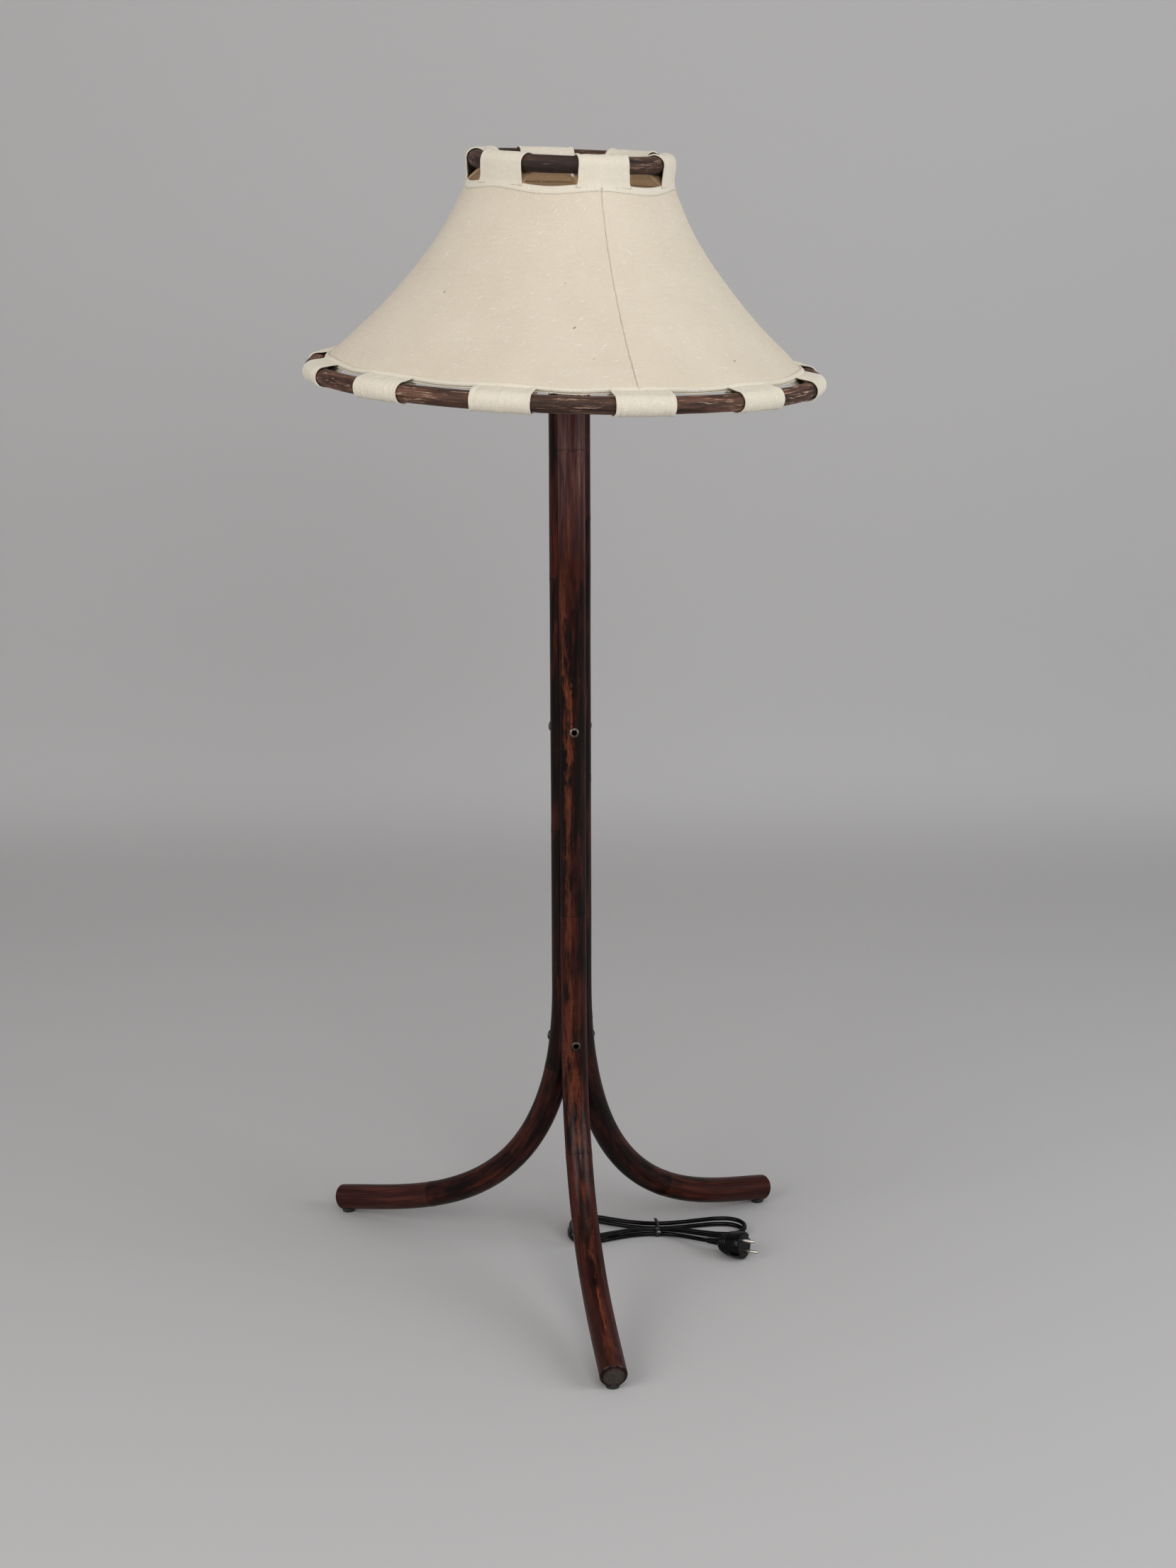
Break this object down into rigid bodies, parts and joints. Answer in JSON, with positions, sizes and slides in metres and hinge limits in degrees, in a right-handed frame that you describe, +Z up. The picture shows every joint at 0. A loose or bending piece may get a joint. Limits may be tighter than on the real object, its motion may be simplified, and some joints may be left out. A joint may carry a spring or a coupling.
{
  "type": "floor lamp",
  "caption": "Floor lamp with a column of bolted bent canes that splay into legs, and a flared cloth shade laced to hoops at top and bottom.",
  "frame": {"origin": "on the floor, at the middle of the box round the lamp without its lead; the column's axis stands a little right of it and behind it", "axes": "+Z up along the column; the front leg points along -Y, and +X is to the right seen from the front"},
  "size_m": [0.6576, 0.6926, 1.4871],
  "materials": {
    "stained_cane": "dark brown stain, almost black, under satin lacquer, worn to red brown in streaks",
    "hoop_cane": "dark brown stain under satin lacquer, worn to red brown on the ridges",
    "canvas": "natural off-white cotton canvas with slubs, plain seams and raw turned edges",
    "steel": "zinc-plated steel",
    "bolt_metal": "nickel plate, dulled and stained",
    "pin_metal": "nickel-plated brass",
    "black_rubber": "black rubber",
    "black_cord": "black vinyl sheath, soft gloss",
    "tie_plastic": "dark plastic-coated wire",
    "plug_plastic": "black moulded vinyl, slightly dull",
    "holder_plastic": "black moulded phenolic",
    "porcelain": "white glazed porcelain",
    "brass": "plain brass",
    "bulb_cap_metal": "rolled brass cap",
    "opal_glass": "opal glass, unlit"
  },
  "bodies": {
    "stand": {"cane_front": "stained_cane", "cane_right": "stained_cane", "cane_left": "stained_cane", "core_tube": "steel", "bolt_upper_front": "bolt_metal", "bolt_upper_right": "bolt_metal", "bolt_upper_left": "bolt_metal", "bolt_lower_front": "bolt_metal", "bolt_lower_right": "bolt_metal", "bolt_lower_left": "bolt_metal", "glide_front": "black_rubber", "glide_right": "black_rubber", "glide_left": "black_rubber", "cord_gland": "black_rubber", "lead_in_column": "black_cord", "cord_free": "black_cord", "cord_hank": "black_cord", "cord_tie": "tie_plastic", "plug_body": "plug_plastic", "plug_pin_low": "pin_metal", "plug_pin_high": "pin_metal", "column_cap": "stained_cane", "nipple": "steel", "lock_nut": "steel", "lampholder_base": "holder_plastic", "lampholder_shell": "holder_plastic", "lampholder_insulator": "porcelain", "lampholder_screw_shell": "brass", "lampholder_contact": "brass", "shade_ring_lower": "holder_plastic"},
    "shade": {"shade_carrier": "steel", "hoop_upper": "hoop_cane", "hoop_lower": "hoop_cane", "canvas_right": "canvas", "canvas_left": "canvas", "loop_upper_1": "canvas", "loop_upper_2": "canvas", "loop_upper_3": "canvas", "loop_upper_4": "canvas", "loop_upper_5": "canvas", "loop_upper_6": "canvas", "loop_lower_1": "canvas", "loop_lower_2": "canvas", "loop_lower_3": "canvas", "loop_lower_4": "canvas", "loop_lower_5": "canvas", "loop_lower_6": "canvas", "loop_lower_7": "canvas", "loop_lower_8": "canvas", "loop_lower_9": "canvas", "loop_lower_10": "canvas", "loop_lower_11": "canvas", "loop_lower_12": "canvas"},
    "lock_ring": {"shade_ring_upper": "holder_plastic"},
    "bulb": {"bulb_glass": "opal_glass", "bulb_base": "bulb_cap_metal"},
    "switch": {"switch_knob": "holder_plastic"}
  },
  "joints": [
    {"name": "shade_turn", "type": "hinge", "parent": "stand", "child": "shade", "pos_m": [0.01112, 0.02207, 1.305], "axis": [0, 0, 1], "continuous": true},
    {"name": "lock_ring_turn", "type": "hinge", "parent": "stand", "child": "lock_ring", "pos_m": [0.01112, 0.02207, 1.309], "axis": [0, 0, 1], "continuous": true},
    {"name": "bulb_draw", "type": "slide", "parent": "stand", "child": "bulb", "axis": [0, 0, 1], "range_m": [0, 0.028]},
    {"name": "switch_turn", "type": "hinge", "parent": "stand", "child": "switch", "pos_m": [0.01112, 0.02207, 1.2779], "axis": [0.766, -0.6428, 0], "continuous": true}
  ]
}
